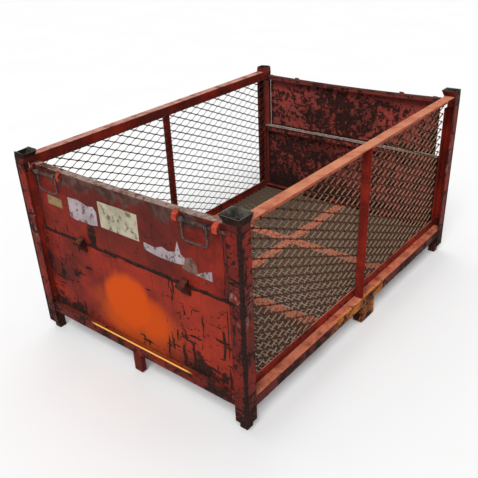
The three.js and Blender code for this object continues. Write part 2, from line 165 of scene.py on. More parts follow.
class Graph:
    """A material whose nodes are added by short calls. Positions are in the row frame, in metres."""

    def __init__(self, name):
        self.material = bpy.data.materials.new(name)
        self.material.use_nodes = True
        self.tree = self.material.node_tree
        self.shader = self.tree.nodes["Principled BSDF"]
        self.place = self.node("ShaderNodeTexCoord").outputs["Object"]
        split = self.node("ShaderNodeSeparateXYZ", self.place)
        self.x, self.y, self.z = split.outputs
        geometry = self.node("ShaderNodeNewGeometry")
        self.normal = geometry.outputs["Normal"]
        _, self.ahead, self.up = self.node("ShaderNodeSeparateXYZ", self.normal).outputs

    def node(self, kind, *inputs, **settings):
        node = self.tree.nodes.new(kind)
        for key, value in settings.items():
            setattr(node, key, value)
        for socket, value in zip(node.inputs, inputs):
            self.feed(socket, value)
        return node

    def feed(self, socket, value):
        if isinstance(value, bpy.types.NodeSocket):
            self.tree.links.new(value, socket)
        else:
            socket.default_value = value

    def math(self, operation, *values, clamp=False):
        return self.node("ShaderNodeMath", *values, operation=operation, use_clamp=clamp).outputs[0]

    def add(self, a, b):
        return self.math("ADD", a, b)

    def times(self, a, b):
        return self.math("MULTIPLY", a, b)

    def most(self, *values):
        result = values[0]
        for value in values[1:]:
            result = self.math("MAXIMUM", result, value)
        return result

    def inverse(self, value):
        return self.math("SUBTRACT", 1.0, value)

    def step(self, value, low, high):
        """0 up to low, 1 from high on (or the other way round), smooth between."""
        if low > high:
            return self.inverse(self.step(value, high, low))
        node = self.node("ShaderNodeMapRange", value, low, high, interpolation_type="SMOOTHSTEP")
        return node.outputs[0]

    def noise(self, scale, detail=4.0, roughness=0.6, seed=0.0, stretch=(1, 1, 1)):
        """Noise from 0 to 1 with about scale lumps per metre, stretched along the axes."""
        vector = self.node("ShaderNodeVectorMath", self.place, [scale / s for s in stretch],
                           operation="MULTIPLY").outputs[0]
        vector = self.node("ShaderNodeVectorMath", vector, (seed * 7.3, seed * 3.1, seed * 5.7),
                           operation="ADD").outputs[0]
        node = self.node("ShaderNodeTexNoise")
        self.feed(node.inputs["Vector"], vector)
        node.inputs["Scale"].default_value = 1.0
        node.inputs["Detail"].default_value = detail
        node.inputs["Roughness"].default_value = roughness
        return node.outputs["Fac"]

    def mix(self, share, a, b):
        node = self.node("ShaderNodeMix", data_type="RGBA")
        self.feed(node.inputs[0], share)
        self.feed(node.inputs[6], a)
        self.feed(node.inputs[7], b)
        return node.outputs[2]

    def blend(self, share, a, b):
        node = self.node("ShaderNodeMix", data_type="FLOAT")
        self.feed(node.inputs[0], share)
        self.feed(node.inputs[2], a)
        self.feed(node.inputs[3], b)
        return node.outputs[0]

    def band(self, value, centre, half, soft):
        """1 where value is within half of centre, fading over soft."""
        distance = self.math("ABSOLUTE", self.math("SUBTRACT", value, centre))
        return self.step(distance, half + soft, half)

    def spot(self, centre, radii, soft, wobble, seed):
        """1 inside an ellipse over x and z, with a soft and wobbly edge."""
        across = self.math("DIVIDE", self.math("SUBTRACT", self.x, centre[0]), radii[0])
        upward = self.math("DIVIDE", self.math("SUBTRACT", self.z, centre[1]), radii[1])
        squares = self.add(self.times(across, across), self.times(upward, upward))
        distance = self.math("SQRT", squares)
        lumps = self.math("SUBTRACT", self.noise(14, 4, seed=seed), 0.5)
        distance = self.add(distance, self.times(lumps, wobble))
        return self.step(distance, 1.0 + soft, 1.0 - soft)

    def edge(self, radius):
        """1 along the edges of the piece, 0 on its flats."""
        bevel = self.node("ShaderNodeBevel", samples=6)
        bevel.inputs["Radius"].default_value = radius
        dot = self.node("ShaderNodeVectorMath", bevel.outputs[0], self.normal,
                        operation="DOT_PRODUCT").outputs["Value"]
        return self.step(dot, 0.995, 0.86)

    def finish(self, colour, roughness, metallic=0.0, height=None, bump=0.5, gloss=0.06):
        self.feed(self.shader.inputs["Base Color"], colour)
        self.feed(self.shader.inputs["Specular IOR Level"], gloss)
        self.feed(self.shader.inputs["Roughness"], roughness)
        self.feed(self.shader.inputs["Metallic"], metallic)
        if height is not None:
            node = self.node("ShaderNodeBump")
            node.inputs["Strength"].default_value = bump
            node.inputs["Distance"].default_value = 1.2 * MM
            self.feed(node.inputs["Height"], height)
            self.feed(self.shader.inputs["Normal"], node.outputs[0])
        return self.material


# ------------------------------------------------------------------ paint

@dataclass
class Wear:
    """How worn and dirty a painted piece is. Every share runs from 0 to 1."""
    film: float  # brown film over broad areas
    blots: float  # black blotches
    flecks: float  # small black specks
    dashes: float  # short black scratches, lying and upright
    edges: float  # black rubbed along the edges
    bare: float  # bright bare steel on the edges
    dust: float  # pale dust lying on top


# Film, blots, flecks, dashes, edges, bare and dust of every look.
WEAR = {
    "post": Wear(0.7, 0.45, 0.75, 0.95, 0.9, 0.05, 0.2),
    "upright": Wear(0.4, 0.2, 0.3, 0.4, 0.5, 0.0, 0.3),
    "rail": Wear(0.9, 0.9, 0.8, 0.7, 0.6, 0.1, 0.05),
    "side_base": Wear(1.0, 0.95, 0.8, 0.6, 0.6, 0.1, 0.1),
    "ledge": Wear(0.6, 0.5, 0.7, 0.4, 0.6, 0.1, 0.7),
    "right_rail": Wear(0.25, 0.1, 0.45, 0.5, 0.4, 0.1, 0.6),
    "left_rail": Wear(0.75, 0.3, 0.4, 0.3, 0.3, 0.1, 0.8),
    "floor_frame": Wear(0.3, 0.2, 0.3, 0.2, 0.3, 0.0, 0.8),
    "front_panel": Wear(0.15, 0.27, 0.4, 0.82, 0.6, 0.1, 0.1),
    "back_panel": Wear(0.5, 0.55, 1.0, 0.3, 0.5, 0.2, 0.1),
    "front_gate": Wear(0.3, 0.2, 0.35, 0.6, 0.7, 0.3, 0.1),
    "back_gate": Wear(0.3, 0.4, 1.0, 0.3, 0.6, 0.1, 0.1),
    "bracket": Wear(0.8, 0.9, 0.6, 0.5, 1.0, 0.1, 0.1),
    "latch": Wear(0.3, 0.45, 0.6, 0.3, 0.6, 0.1, 0.2),
    "cup_outside": Wear(0.6, 0.45, 0.5, 0.5, 0.8, 0.2, 0.1),
    "end_foot": Wear(0.3, 0.1, 0.3, 0.2, 0.2, 0.4, 0.1),
    "foot": Wear(0.8, 0.8, 0.5, 0.5, 0.9, 0.1, 0.1),
    "weld": Wear(0.6, 0.5, 0.5, 0.0, 0.3, 0.0, 0.1),
}


def paint_tones(g, tones, grain, seed):
    """Mottled and streaked paint before any dirt: a dark, a middle and a bright tone."""
    colour = g.mix(g.step(g.noise(7, 5, seed=seed), 0.35, 0.68), tones[0], tones[1])
    colour = g.mix(g.times(g.step(grain, 0.45, 0.75), 0.4), colour, tones[2])
    streaks = g.noise(60, 4, seed=seed, stretch=(1, 1, 14))
    return g.mix(g.times(g.step(streaks, 0.48, 0.72), 0.3), colour, RED_DARK)


def black_marks(g, wear, extra, seed):
    """Share of black dirt: blotches, specks, scratches and rubbed edges."""
    patches = g.noise(15, 8, 0.72, seed=seed + 2)
    limit = 0.74 - 0.25 * wear.blots
    blots = g.step(g.add(patches, extra), limit, limit + 0.045)
    gathered = g.add(g.times(g.math("SUBTRACT", patches, 0.5), 0.7), g.times(extra, 0.6))
    limit = 0.77 - 0.28 * wear.flecks
    flecks = g.step(g.add(g.noise(65, 5, 0.62, seed=seed + 3), gathered), limit, limit + 0.06)
    lying = g.noise(34, 4, 0.55, seed=seed + 4, stretch=(4, 4, 0.8))
    upright = g.noise(34, 4, 0.55, seed=seed + 5, stretch=(0.8, 0.8, 4))
    limit = 0.79 - 0.17 * wear.dashes
    dashes = g.step(g.add(g.most(lying, upright), g.times(extra, 0.5)), limit, limit + 0.025)
    limit = 0.66 - 0.34 * wear.edges
    worn = g.add(g.noise(24, 6, 0.7, seed=seed + 6), g.times(extra, 0.5))
    rubbed = g.times(g.edge(6 * MM), g.step(worn, limit, limit + 0.08))
    return g.most(blots, flecks, dashes, rubbed)


def worn_paint(name, tones, wear, seed, dirt=None, decorate=None, dust_tone=None):
    """Old paint. dirt adds grime in places, decorate changes the colour under the grime."""
    g = Graph(name)
    grain = g.noise(120, 5, 0.7, seed=seed)
    colour = paint_tones(g, tones, grain, seed)
    if decorate:
        colour = decorate(g, colour)
    extra = dirt(g) if dirt else 0.0
    broad = g.noise(5, 6, 0.62, seed=seed + 7)
    limit = 0.66 - 0.32 * wear.film
    film = g.step(g.add(broad, g.times(extra, 1.2)), limit, limit + 0.2)
    colour = g.mix(g.times(film, 0.7), colour, FILM)
    black = black_marks(g, wear, extra, seed)
    grime = g.mix(g.step(grain, 0.4, 0.7), GRIME, GRIME_BROWN)
    colour = g.mix(g.times(black, 0.93), colour, grime)
    chipped = g.step(g.noise(40, 5, seed=seed + 8), 0.65 - 0.4 * wear.bare, 0.7)
    bare = g.times(g.times(g.edge(2.5 * MM), chipped), min(1.0, wear.bare * 2))
    colour = g.mix(bare, colour, STEEL)
    clouds = g.step(g.noise(16, 6, 0.7, seed=seed + 9), 0.28, 0.6)
    settled = g.times(g.step(g.up, 0.55, 0.95), clouds)
    colour = g.mix(g.times(settled, wear.dust), colour, dust_tone or RED_DUSTY)
    roughness = g.blend(black, g.blend(grain, 0.42, 0.66), 0.8)
    roughness = g.blend(settled, roughness, 0.9)
    height = g.add(g.times(grain, 0.35), g.times(g.inverse(black), 0.65))
    return g.finish(colour, roughness, g.times(bare, 0.9), height, 0.45)


# ------------------------------------------------------------------ marks on single pieces

def orange_share(g):
    """Where touch-up paint was sprayed on the front panel: the solid patch and its haze."""
    outside = g.step(g.ahead, -0.2, -0.6)
    middle = g.spot((-0.020, 0.290), (0.118, 0.110), 0.20, 0.45, 3)
    right = g.spot((0.085, 0.262), (0.088, 0.080), 0.34, 0.45, 4)
    low = g.spot((-0.070, 0.218), (0.085, 0.062), 0.40, 0.6, 5)
    haze = g.spot((0.005, 0.225), (0.195, 0.110), 0.40, 0.8, 6)
    solid = g.most(middle, g.times(right, 0.75), g.times(low, 0.45))
    return g.times(solid, outside), g.times(haze, outside)


# Where the seams run down an end, and how black each one is.
SEAMS = {-0.436: 0.9, -0.30: 0.4, -0.085: 0.5, 0.115: 0.3, 0.33: 0.5, 0.434: 0.9}


def seams(g, colour):
    """Upright lines where the sheet is stitched to its stiffeners."""
    for place, strength in SEAMS.items():
        broken = g.step(g.noise(9, 3, seed=place), 0.36, 0.56)
        line = g.times(g.band(g.x, place, 0.0014, 0.002), broken)
        colour = g.mix(g.times(line, strength), colour, GRIME)
    return colour


def front_panel_marks(g, colour):
    """Stitching, the sprayed patch, and a long black scratch near the right post."""
    solid, haze = orange_share(g)
    colour = g.mix(g.times(g.step(g.x, -0.10, 0.30), 0.4), colour, RED_BRIGHT)
    colour = g.mix(g.times(haze, 0.75), seams(g, colour), ORANGE_DARK)
    colour = g.mix(solid, colour, ORANGE)
    bowed = g.add(g.x, g.times(g.math("ABSOLUTE", g.math("SUBTRACT", g.z, 0.3)), 0.12))
    scratch = g.times(g.band(bowed, 0.419, 0.0035, 0.003), g.band(g.z, 0.293, 0.05, 0.01))
    return g.mix(g.times(scratch, 0.95), colour, GRIME)


def panel_dirt(g):
    """Grime at the foot of a panel and in its corners, and a dark line along its top edge under the hinge
    line, painted shade under the gate's lower edge mixed with grime.
    """
    across = g.math("ABSOLUTE", g.x)
    foot = g.times(g.step(g.z, 0.225, 0.14), g.add(0.1, g.times(g.step(g.x, -0.15, -0.40), 0.12)))
    # Painted shade mixed with grime: a dark line along the panel's top edge, under the gate.
    hinge = g.times(g.band(g.z, (PANEL["top"] - 0.5) * MM, 0.003, 0.007), 0.27)
    corner = g.times(g.step(across, 0.435, 0.466), 0.12)
    return g.add(foot, g.add(hinge, corner))


def front_panel_dirt(g):
    """As any panel, more where loads rub it, and none on the fresh orange paint."""
    solid, haze = orange_share(g)
    right = g.times(g.spot((0.30, 0.25), (0.16, 0.13), 0.35, 0.6, 7), 0.13)
    left = g.times(g.spot((-0.36, 0.32), (0.11, 0.07), 0.4, 0.5, 8), 0.13)
    clean = g.add(g.times(solid, 0.3), g.times(haze, 0.03))
    return g.math("SUBTRACT", g.add(panel_dirt(g), g.add(right, left)), clean)


def gate_dirt(g):
    """Grime along the hinge side, down both ends and right under the fold of a gate."""
    across = g.math("ABSOLUTE", g.x)
    under = g.times(g.step(g.z, 0.706, 0.716), 0.06)
    hinge = g.times(g.step(g.z, (HINGE_Z + 10) * MM, HINGE_Z * MM), 0.22)
    ends = g.times(g.step(across, 0.418, 0.442), 0.16)
    return g.add(under, g.add(hinge, ends))


def front_gate_dirt(g):
    """As any gate, with a streak under the torn label and specks beside the large one."""
    streak = g.times(g.spot((-0.167, 0.512), (0.022, 0.05), 0.3, 0.8, 9), 0.28)
    specks = g.times(g.spot((0.17, 0.60), (0.065, 0.035), 0.5, 0.8, 10), 0.1)
    return g.add(gate_dirt(g), g.add(streak, specks))


def fold_top(g, height):
    """1 on top of a sheet's fold at some height, in millimetres."""
    return g.times(g.step(g.up, 0.3, 0.8), g.step(g.z, (height - 12) * MM, (height - 8) * MM))


def worn_fold(g, colour, height):
    """Paint worn away to dull steel on top of a fold."""
    share = g.times(fold_top(g, height), g.step(g.noise(22, 6, 0.7, seed=31), 0.3, 0.5))
    tone = g.mix(g.step(g.noise(70, 5, seed=32), 0.3, 0.55), STEEL_DARK, STEEL_WARM)
    return g.mix(share, colour, tone)


def front_gate_marks(g, colour):
    """Stitching, and brown and gray smears running down from the upper edge of the gate."""
    brown = g.spot((0.06, 0.60), (0.26, 0.13), 0.5, 0.8, 12)
    colour = g.mix(g.times(brown, 0.6), seams(g, colour), FILM)
    runs = g.times(g.math("SUBTRACT", g.noise(16, 4, seed=36, stretch=(1, 1, 30)), 0.5), 0.22)
    band = g.step(g.add(g.z, runs), 0.662, 0.690)
    smear = g.times(band, g.step(g.math("ABSOLUTE", g.x), 0.44, 0.30))
    tone = g.mix(g.step(g.noise(24, 5, seed=33), 0.4, 0.62), GRIME_BROWN, SMEAR)
    colour = g.mix(g.times(smear, 0.85), colour, tone)
    return worn_fold(g, colour, GATE["top"])


def back_gate_marks(g, colour):
    """A faded coat, and a plum band along the top of the gate."""
    faded = g.mix(0.45, seams(g, colour), FADED)
    return g.mix(g.times(g.step(g.z, 0.655, 0.68), 0.6), faded, PLUM)


def back_gate_dirt(g):
    """Dense specks, thickest in the middle and thin near the top, and a black fold."""
    middle = g.times(g.spot((-0.06, 0.58), (0.20, 0.13), 0.6, 0.8, 13), 0.12)
    band = g.times(g.step(g.z, 0.655, 0.69), -0.10)
    fold = g.times(fold_top(g, GATE["top"]), 0.5)
    return g.add(g.add(gate_dirt(g), middle), g.add(band, fold))


def back_panel_marks(g, colour):
    """The same faded coat as the gate above, and a worn fold."""
    return worn_fold(g, g.mix(0.35, seams(g, colour), FADED), PANEL["top"])


def back_panel_dirt(g):
    """As any panel, and nearly black over its left half."""
    left = g.times(g.spot((-0.30, 0.27), (0.26, 0.15), 0.6, 0.8, 14), 0.10)
    fold = g.times(fold_top(g, PANEL["top"]), -0.5)
    return g.add(panel_dirt(g), g.add(left, fold))


def post_dirt(g):
    """Black band down the outer corner of a post, and blacker at both of its ends."""
    side = g.math("SUBTRACT", HALF_W * MM, g.math("ABSOLUTE", g.x))
    end = g.math("SUBTRACT", HALF_L * MM, g.math("ABSOLUTE", g.y))
    corner = g.times(g.step(g.math("MAXIMUM", side, end), 0.0140, 0.003), 0.33)
    low = g.times(g.step(g.z, 0.20, 0.06), 0.14)
    high = g.times(g.step(g.z, 0.69, 0.73), 0.12)
    hinge = g.times(g.band(g.z, 0.462, 0.012, 0.03), 0.07)
    return g.add(g.add(corner, hinge), g.add(low, high))


def cup_dirt(g):
    """Black under the rim of the front cups, and down the outer corner of all four."""
    rim = g.times(g.step(g.z, 0.738, 0.746), g.step(g.y, 0.1, -0.1))
    return g.add(g.times(post_dirt(g), 0.6), g.times(rim, 0.25))


def left_soot(g):
    """The latches to the left are nearly black, the others hardly dirty."""
    return g.add(-0.05, g.times(g.step(g.x, -0.22, -0.40), 0.2))


def scuffs(g, colour):
    """Pale smears where a post was knocked, at about the height of the hinges."""
    place = g.band(g.z, 0.475, 0.035, 0.05)
    share = g.times(place, g.step(g.noise(38, 6, 0.7, seed=34, stretch=(1, 1, 2)), 0.5, 0.6))
    return g.mix(g.times(share, 0.6), colour, SCUFF)


def yellow_middle(g, colour):
    """Yellow paint rubbed on around the middle of the long sides."""
    where = g.times(g.band(g.y, -0.02, 0.13, 0.12), g.step(g.noise(11, 5, seed=12), 0.3, 0.5))
    where = g.times(where, g.step(g.math("ABSOLUTE", g.x), 0.495, 0.500))
    return g.mix(g.times(where, 0.85), colour, YELLOW)


def sprayed_ledge(g):
    """Where the front rail caught the spray: the front of its top, which gets a painted shadow line, the
    very lip, which gets a painted highlight, and all of it.
    """
    sprayed = g.times(g.band(g.x, 0.02, 0.225, 0.04), g.step(g.y, 0.0, -0.1))
    high = g.step(g.z, (END_RAIL_TOP - 4.5) * MM, (END_RAIL_TOP - 2.5) * MM)
    top = g.times(high, sprayed)
    depth = g.add(g.y, HALF_L * MM)
    front = g.times(top, g.step(depth, 0.0130, 0.0120))
    lip = g.times(top, g.step(depth, 0.0098, 0.0088))
    return front, lip, top


def front_rail_dirt(g):
    """Dirty all over, except the lip under the sprayed patch, which stays clean under its painted
    highlight.
    """
    _, lip, top = sprayed_ledge(g)
    return g.add(g.times(lip, -0.7), g.times(top, -0.08))


def overspray_lip_highlight_and_shade(g, colour):
    """Overspray on the ledge below the sprayed patch, a painted shadow line just behind the lip, and a
    painted highlight on the lip itself, which also carries the overspray.
    """
    front, lip, top = sprayed_ledge(g)
    ledge = g.times(top, g.step(g.noise(20, 5, seed=35), 0.36, 0.5))
    colour = g.mix(g.times(ledge, 0.85), colour, OVERSPRAY)
    # Painted shade and highlight: a grime tone on the line just behind the lip, a bright gold tone on the
    # lip.
    return g.mix(lip, g.mix(front, colour, GRIME), LIP_HIGHLIGHT)


# ------------------------------------------------------------------ other surfaces

def worn_steel(name, dark, light, rust, shine, seed):
    """Bare steel, dulled and stained, rubbed bright along its edges."""
    g = Graph(name)
    stains = g.noise(30, 7, 0.7, seed=seed)
    grain = g.noise(260, 3, seed=seed, stretch=(6, 1, 1))
    colour = g.mix(g.step(stains, 0.35, 0.65), dark, light)
    rusty = g.step(g.noise(45, 6, 0.7, seed=seed + 3), 0.72 - 0.25 * rust, 0.78 - 0.15 * rust)
    colour = g.mix(g.times(rusty, 0.8), colour, RUST)
    bright = g.times(g.edge(1.8 * MM), g.step(stains, 0.3, 0.5))
    colour = g.mix(g.times(bright, 0.8), colour, STEEL_BRIGHT)
    roughness = g.blend(rusty, g.blend(stains, shine, shine + 0.25), 0.85)
    roughness = g.blend(bright, roughness, 0.3)
    metallic = g.blend(rusty, 0.7, 0.1)
    return g.finish(colour, roughness, metallic, g.add(stains, g.times(grain, 0.3)), 0.35, 0.5)


def strand_paint(name, base, worn, lit, seed, decorate=None):
    """Thin paint on expanded metal, with a painted highlight on the strand faces that look to the front.
    """
    g = Graph(name)
    clouds = g.noise(5, 5, seed=seed)
    fine = g.noise(70, 5, 0.7, seed=seed + 1)
    colour = g.mix(g.step(fine, 0.35, 0.65), base, worn)
    colour = g.mix(g.times(g.step(clouds, 0.42, 0.68), 0.55), colour, GRIME_BROWN)
    # Painted highlight: strand faces that look to the front take the lit tone, standing in for light
    # falling from the front.
    rubbed = g.times(g.step(g.ahead, 0.0, -0.3), g.blend(fine, 0.4, 1.0))
    colour = g.mix(rubbed, colour, lit)
    if decorate:
        colour = decorate(g, colour)
    return g.finish(colour, g.blend(fine, 0.5, 0.8), 0.2, fine, 0.4)


def over_floor_frame(g, colour):
    """Paint rubbed onto the floor strands where they lie on the members below."""
    across = g.band(g.math("ABSOLUTE", g.y), CROSS_Y * MM, 0.022, 0.006)
    along = g.band(g.x, 0.0, 0.022, 0.006)
    share = g.times(g.most(across, along), g.step(g.noise(110, 4, seed=37), 0.38, 0.5))
    return g.mix(g.times(share, 0.9), colour, FRAME_PINK)


def paper(name, tone, stain, seed):
    """Old label stock, unevenly faded, stained and scuffed."""
    g = Graph(name)
    fibres = g.noise(420, 3, seed=seed)
    blots = g.noise(34, 7, 0.72, seed=seed + 1)
    faded = tuple(0.72 * channel for channel in tone[:3]) + (1.0,)
    colour = g.mix(g.step(g.noise(9, 3, seed=seed + 2), 0.35, 0.65), tone, faded)
    colour = g.mix(g.times(g.step(blots, 0.51, 0.60), stain), colour, GRIME_BROWN)
    colour = g.mix(g.times(g.step(fibres, 0.5, 0.7), 0.15), colour, PAPER_FIBRE)
    return g.finish(colour, 0.88, 0.0, g.add(fibres, blots), 0.3)


def make_paints():
    """Every worn paint, by the name of its look."""
    red = (RED_DARK, RED, RED_BRIGHT)
    bright = (RED, RED_BRIGHT, srgb(196, 84, 56))
    pale = (srgb(160, 76, 54), srgb(182, 100, 74), srgb(200, 124, 94))
    orange_red = (srgb(120, 36, 26), srgb(184, 64, 44), srgb(222, 112, 88))
    plum = (PLUM, RED_DARK, RED)
    brown = (GRIME_BROWN, RED_DARK, RED)
    foot_red = (srgb(72, 22, 18), RED_DARK, RED)
    weld_red = (srgb(60, 22, 18), RED_DARK, RED)
    black = (GRIME, GRIME_BROWN, RED_DARK)

    return {
        "post": worn_paint("post_paint", red, WEAR["post"], 1, post_dirt, scuffs),
        "upright": worn_paint("upright_paint", red, WEAR["upright"], 2),
        "rail": worn_paint("end_rail_paint", red, WEAR["rail"], 3, front_rail_dirt, overspray_lip_highlight_and_shade),
        "side_base": worn_paint("side_base_paint", plum, WEAR["side_base"], 4,
                                decorate=yellow_middle),
        "ledge": worn_paint("ledge_paint", red, WEAR["ledge"], 5, decorate=yellow_middle),
        "right_rail": worn_paint("right_top_rail_paint", pale, WEAR["right_rail"], 6,
                                 dust_tone=DUST_PALE),
        "left_rail": worn_paint("left_top_rail_paint", red, WEAR["left_rail"], 7,
                                dust_tone=DUST_PINK),
        "floor_frame": worn_paint("floor_frame_paint", bright, WEAR["floor_frame"], 8),
        "front_panel": worn_paint("front_panel_paint", red, WEAR["front_panel"], 9,
                                  front_panel_dirt, front_panel_marks),
        "back_panel": worn_paint("back_panel_paint", red, WEAR["back_panel"], 10,
                                 back_panel_dirt, back_panel_marks),
        "front_gate": worn_paint("front_gate_paint", red, WEAR["front_gate"], 11,
                                 front_gate_dirt, front_gate_marks),
        "back_gate": worn_paint("back_gate_paint", red, WEAR["back_gate"], 12,
                                back_gate_dirt, back_gate_marks),
        "bracket": worn_paint("bracket_paint", brown, WEAR["bracket"], 13),
        "latch": worn_paint("latch_paint", orange_red, WEAR["latch"], 14, left_soot),
        "cup_outside": worn_paint("cup_paint", red, WEAR["cup_outside"], 15, cup_dirt),
        "end_foot": worn_paint("end_foot_paint", foot_red, WEAR["end_foot"], 16),
        "foot": worn_paint("foot_grime", black, WEAR["foot"], 17),
        "weld": worn_paint("weld_paint", weld_red, WEAR["weld"], 23),
    }


def make_steels():
    """Bare steel of the latches and of the insides of the cups."""
    return {
        "steel": worn_steel("handled_steel", srgb(36, 27, 24), srgb(84, 66, 58), 0.7, 0.5, 18),
        "cup": worn_steel("cup_steel", srgb(40, 39, 34), srgb(92, 90, 82), 0.3, 0.35, 19),
    }


def make_strands():
    """Paint of the three expanded metal sheets, one paint in three copies: the right sheet's lighter as
    painted light, the left sheet's darker as painted shade, and the floor's dark as well.
    """
    return {
        # Painted shade: the left sheet's copy is darker.
        "left_strand": strand_paint("left_mesh_shaded_paint", srgb(44, 30, 26), srgb(72, 50, 43),
                                    srgb(96, 74, 64), 20),
        # Painted light: the right sheet's copy is lighter.
        "right_strand": strand_paint("right_mesh_lit_paint", srgb(58, 34, 26), srgb(96, 62, 48),
                                     srgb(158, 126, 102), 21),
        "floor_strand": strand_paint("floor_mesh_paint", srgb(50, 40, 32), srgb(78, 64, 52),
                                     srgb(88, 74, 61), 22, over_floor_frame),
    }


def make_papers():
    """Blank papers of the labels."""
    return {
        "cream": paper("cream_label", srgb(180, 172, 148), 0.7, 24),
        "white": paper("white_label", srgb(170, 156, 160), 0.75, 25),
        "beige": paper("beige_label", srgb(152, 128, 92), 0.35, 26),
        "smudge": paper("smudged_label", srgb(122, 92, 82), 0.6, 27),
    }


def make_materials():
    """Every material, by the name of its look."""
    return make_paints() | make_steels() | make_strands() | make_papers()


# ------------------------------------------------------------------ mesh helpers

def mesh_object(name, vertices, faces, material, body, slot, smooth=True):
    """A piece of the container, given in millimetres in the row frame."""
    data = bpy.data.meshes.new(name)
    data.from_pydata([Vector(v) * MM for v in vertices], [], faces)
    bm = bmesh.new()
    bm.from_mesh(data)
    bmesh.ops.remove_doubles(bm, verts=bm.verts, dist=1e-6)
    bmesh.ops.recalc_face_normals(bm, faces=bm.faces)
    bm.to_mesh(data)
    bm.free()
    data.materials.append(material)
    if smooth:
        data.shade_smooth()
        data.set_sharp_from_angle(angle=math.radians(32))
    piece = bpy.data.objects.new(name, data)
    bpy.context.scene.collection.objects.link(piece)
    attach(piece, body)
    return piece


def loft(rings, closed_ends=True):
    """Vertices and faces of a skin over rings of equal length."""
    count = len(rings[0])
    vertices = [point for ring in rings for point in ring]
    faces = []
    for r in range(len(rings) - 1):
        for i in range(count):
            j = (i + 1) % count
            faces.append((r * count + i, r * count + j, (r + 1) * count + j, (r + 1) * count + i))
    if closed_ends:
        faces.append(tuple(range(count - 1, -1, -1)))
        faces.append(tuple((len(rings) - 1) * count + i for i in range(count)))
    return vertices, faces


def append(target, vertices, faces):
    """Adds another shell to a (vertices, faces) pair."""
    start = len(target[0])
    target[0].extend(vertices)
    target[1].extend(tuple(start + i for i in face) for face in faces)


def arc(centre, radius, start, end, steps=4):
    """Points on an arc, angles in degrees."""
    points = []
    for k in range(steps + 1):
        angle = math.radians(start + (end - start) * k / steps)
        points.append((centre[0] + radius * math.cos(angle), centre[1] + radius * math.sin(angle)))
    return points


# ------------------------------------------------------------------ sheet metal

def folded_section(front, bottom, top, lip):
    """Section of a sheet folded inwards along its top, as (inset, height) points with real bends."""
    inner = BEND - SHEET
    back = front + FLANGE
    straight = top - BEND
    heights = [bottom + (straight - bottom) * k / SHEET_ROWS for k in range(SHEET_ROWS)]
    loop = [(front, z) for z in heights]
    loop += arc((front + BEND, straight), BEND, 180, 90)
    loop += arc((back - BEND, straight), BEND, 90, 0)
    loop += [(back, top - lip), (back - SHEET, top - lip)]
    loop += arc((back - BEND, straight), inner, 0, 90)
    loop += arc((front + BEND, straight), inner, 90, 180)
    loop += [(front + SHEET, z) for z in reversed(heights)]
    return loop


def knocked(x, z, seed):
    """How far a knock has pushed the sheet inwards at a place on it, in millimetres."""
    broad = noise.noise(Vector((x * 0.006, seed, z * 0.008)))
    sharp = noise.noise(Vector((x * 0.02, seed + 5, z * 0.022)))
    return 2.2 * (0.5 + 0.5 * broad) + 1.8 * max(0.0, sharp - 0.15)


def sheet_shift(x, z, shape):
    """Inward and downward shift of a sheet at a place on it."""
    fraction = (z - shape["bottom"]) / (shape["top"] - shape["bottom"])
    fade_z = min(1.0, 4 * fraction, max(0.0, 5 * (1 - fraction)))
    fade_x = min(1.0, (shape["half"] - abs(x)) / END_FADE)
    if z > shape["held_above"]:
        for held in shape["held"]:
            fade_x *= min(1.0, max(0.0, (abs(x - held) - HELD_REACH) / HELD_FADE))
    inward = knocked(x, z, shape["seed"]) * fade_z * max(0.0, fade_x)
    sag = shape["bow"] * (1 - (x / shape["half"]) ** 2) * max(0.0, fraction) ** 2
    return inward, sag


def sheet_piece(name, shape, end, material, body):
    """A folded and slightly knocked sheet across one end."""
    section = folded_section(PANEL_INSET, shape["bottom"], shape["top"], shape["lip"])
    rings = []
    for k in range(SHEET_COLUMNS + 1):
        x = shape["half"] * (2 * k / SHEET_COLUMNS - 1)
        ring = []
        for inset, z in section:
            inward, sag = sheet_shift(x, z, shape)
            if inset > PANEL_INSET + FACE_DEPTH:
                inward = 0
            ring.append((x, end * (HALF_L - inset - inward), z - sag))
        rings.append(ring)
    return mesh_object(name, *loft(rings), material, body, "red_paint")


def hinge_straps(end, material, body):
    """Straps rolled round the hinge pins and welded up to the gate, a pair in one piece."""
    weld = PANEL_INSET - HINGE_INSET + 0.5
    front = weld - STRAP["thick"]
    outline = [(weld, STRAP["height"]), (front, STRAP["height"]), (front, front)]
    outline += arc((0, 0), STRAP["barrel"], 95, 330, 16)
    outline += arc((0, 0), STRAP["bore"], 330, -26, 20)
    outline += arc((0, 0), STRAP["barrel"], -26, -20, 1)
    outline.append((weld, GATE["bottom"] - HINGE_Z))
    shell = ([], [])
    for centre in HINGE_X.values():
        rings = []
        for x in (centre - STRAP["half"], centre + STRAP["half"]):
            rings.append([(x, end * (HALF_L - HINGE_INSET - a), HINGE_Z + b) for a, b in outline])
        append(shell, *loft(rings))
    piece = mesh_object(f"{body}_hinge_straps", *shell, material, body, "red_paint")
    soften(piece, 0.6)


def add_end_sheets(end, materials):
    """Gate, its hinge straps and lower panel of one end."""
    out = ENDS[end]
    body = f"{end}_gate"
    gate = sheet_piece(f"{end}_gate_skin", GATE, out, materials[f"{end}_gate"], body)
    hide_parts(f"{end}_gate_sheet")
    hinge_straps(out, materials["bracket"], body)
    panel = sheet_piece(f"{end}_panel_skin", PANEL, out, materials[f"{end}_panel"], "frame")
    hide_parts(f"{end}_lower_panel")


# ------------------------------------------------------------------ expanded metal

def strand_section(width, thick, tilt):
    """Corners of a strand's tilted section, as offsets across the sheet and out of it."""
    angle = math.radians(tilt)
    along = Vector((math.cos(angle), math.sin(angle))) * width / 2
    out = Vector((-math.sin(angle), math.cos(angle))) * thick / 2
    return along + out, -along + out, -along - out, along - out


